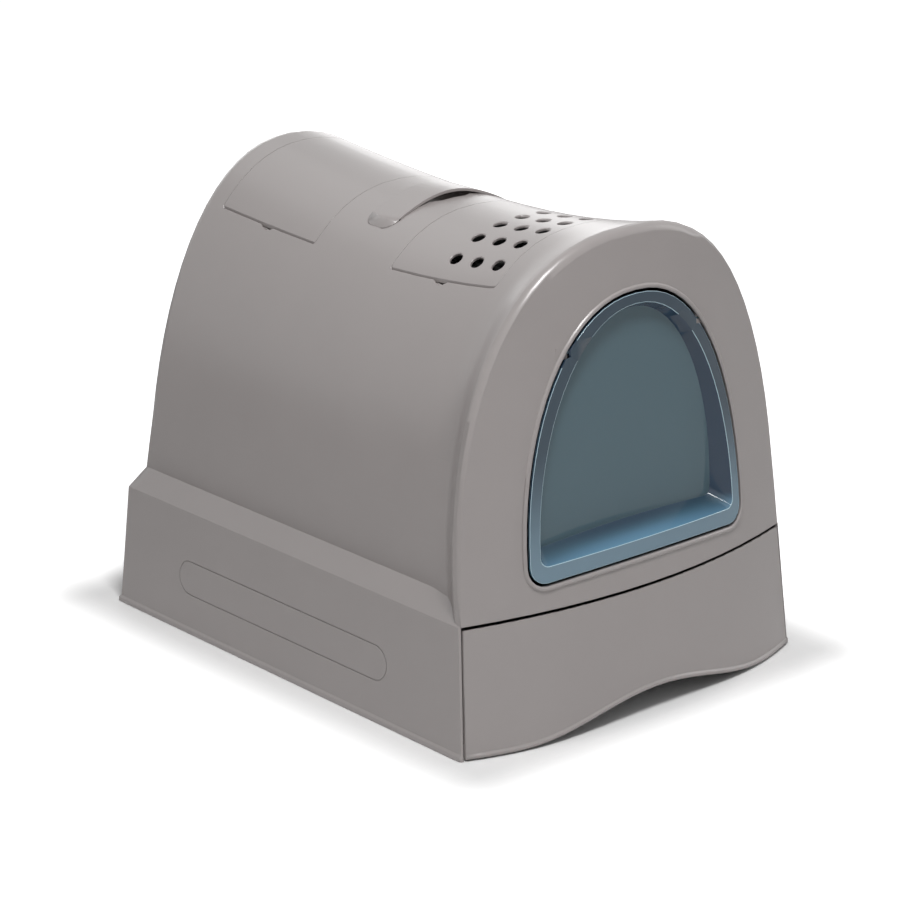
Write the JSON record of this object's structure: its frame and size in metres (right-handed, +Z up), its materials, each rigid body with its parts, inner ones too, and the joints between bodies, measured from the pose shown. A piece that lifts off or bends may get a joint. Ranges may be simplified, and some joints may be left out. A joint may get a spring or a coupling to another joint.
{
  "type": "hooded litter box",
  "caption": "Hooded litter box with a see-through swing door, a pull-out drawer with a litter tray, hinged top lids over a filter tray and a storage tray, and a carry handle.",
  "frame": {"origin": "middle of the footprint, on the floor", "axes": "+Z up, -Y out of the front doorway, +X to the right seen from the front"},
  "size_m": [0.4, 0.5502, 0.4235],
  "materials": {
    "shell": "fine satin, warm grey",
    "front": "fine satin, warm grey",
    "lid": "fine satin, warm grey",
    "handle": "fine satin, warm grey",
    "door": "smoked blue-grey, see-through",
    "tray": "satin, mid grey",
    "pan": "satin, dark grey",
    "inner": "satin, mid grey",
    "scoop": "satin, dark grey",
    "carbon": "black carbon felt",
    "feet": "matt black rubber",
    "steel": "plain steel"
  },
  "bodies": {
    "housing": {"hood": "shell", "base_pan": "pan", "base_screws": "steel", "rubber_feet": "feet", "left_rail": "pan", "right_rail": "pan", "front_lid_pin": "steel", "rear_lid_pin": "steel", "filter_tray": "inner", "carbon_filter": "carbon", "filter_grille": "inner", "storage_well": "inner", "litter_scoop": "scoop", "carry_handle": "handle", "handle_clips": "steel"},
    "drawer": {"litter_tray": "tray", "drawer_front": "front"},
    "door": {"swing_door": "door"},
    "front_flap": {"front_lid": "lid"},
    "rear_flap": {"rear_lid": "lid"}
  },
  "joints": [
    {"name": "drawer_slide", "type": "slide", "parent": "housing", "child": "drawer", "axis": [0, -1, 0], "range_m": [0, 0.41]},
    {"name": "door_swing", "type": "hinge", "parent": "housing", "child": "door", "pos_m": [0, -0.23282, 0.33], "axis": [1, 0, 0], "range_deg": [-62, 62]},
    {"name": "front_lid_hinge", "type": "hinge", "parent": "housing", "child": "front_flap", "pos_m": [0.098, -0.037, 0.36415], "axis": [0, 0.9964, -0.0852], "range_deg": [0, 105]},
    {"name": "rear_lid_hinge", "type": "hinge", "parent": "housing", "child": "rear_flap", "pos_m": [0.098, 0.067, 0.3648], "axis": [0, 0.9983, 0.058], "range_deg": [0, 105]}
  ]
}
